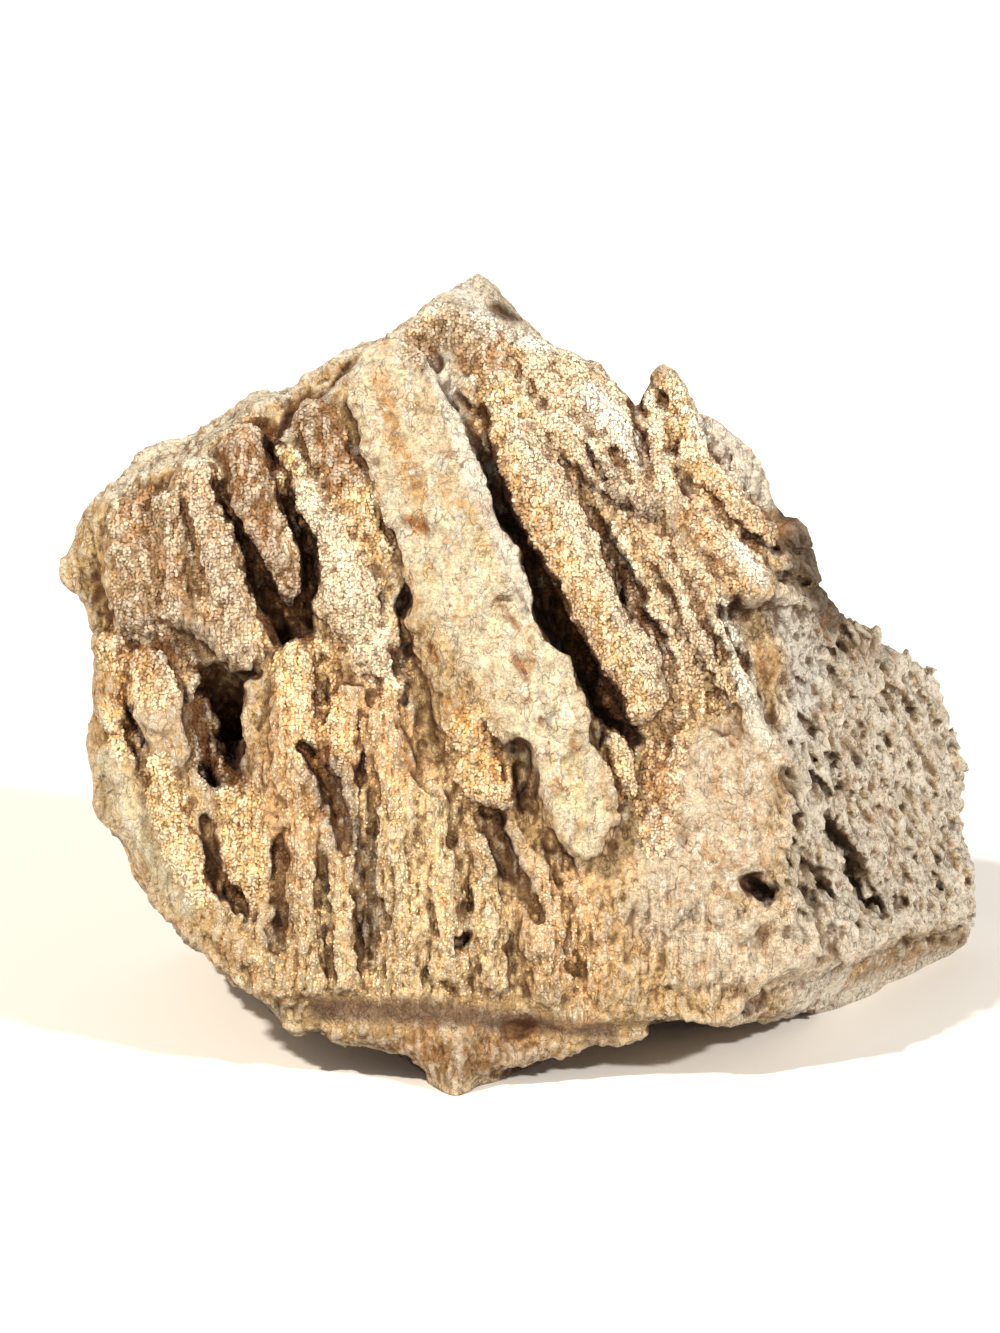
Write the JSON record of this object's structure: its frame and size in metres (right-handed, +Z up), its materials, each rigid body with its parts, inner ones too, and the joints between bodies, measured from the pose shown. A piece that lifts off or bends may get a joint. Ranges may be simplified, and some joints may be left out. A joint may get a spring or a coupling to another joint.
{
  "type": "petrified wood",
  "caption": "Broken lump of petrified wood with granular ribs, a pale flat slab and a porous flank, resting on its flat underside",
  "frame": {"origin": "centre of the bounding box in plan, level with the flat underside that rests on the ground", "axes": "+Z up, +X along the width of the ribbed face to the right, +Y from the ribbed face towards the back"},
  "size_m": [0.3096, 0.1988, 0.2523],
  "materials": {
    "silicified_wood": "matte"
  },
  "bodies": {
    "root": {"petrified_wood": "silicified_wood"}
  },
  "joints": []
}
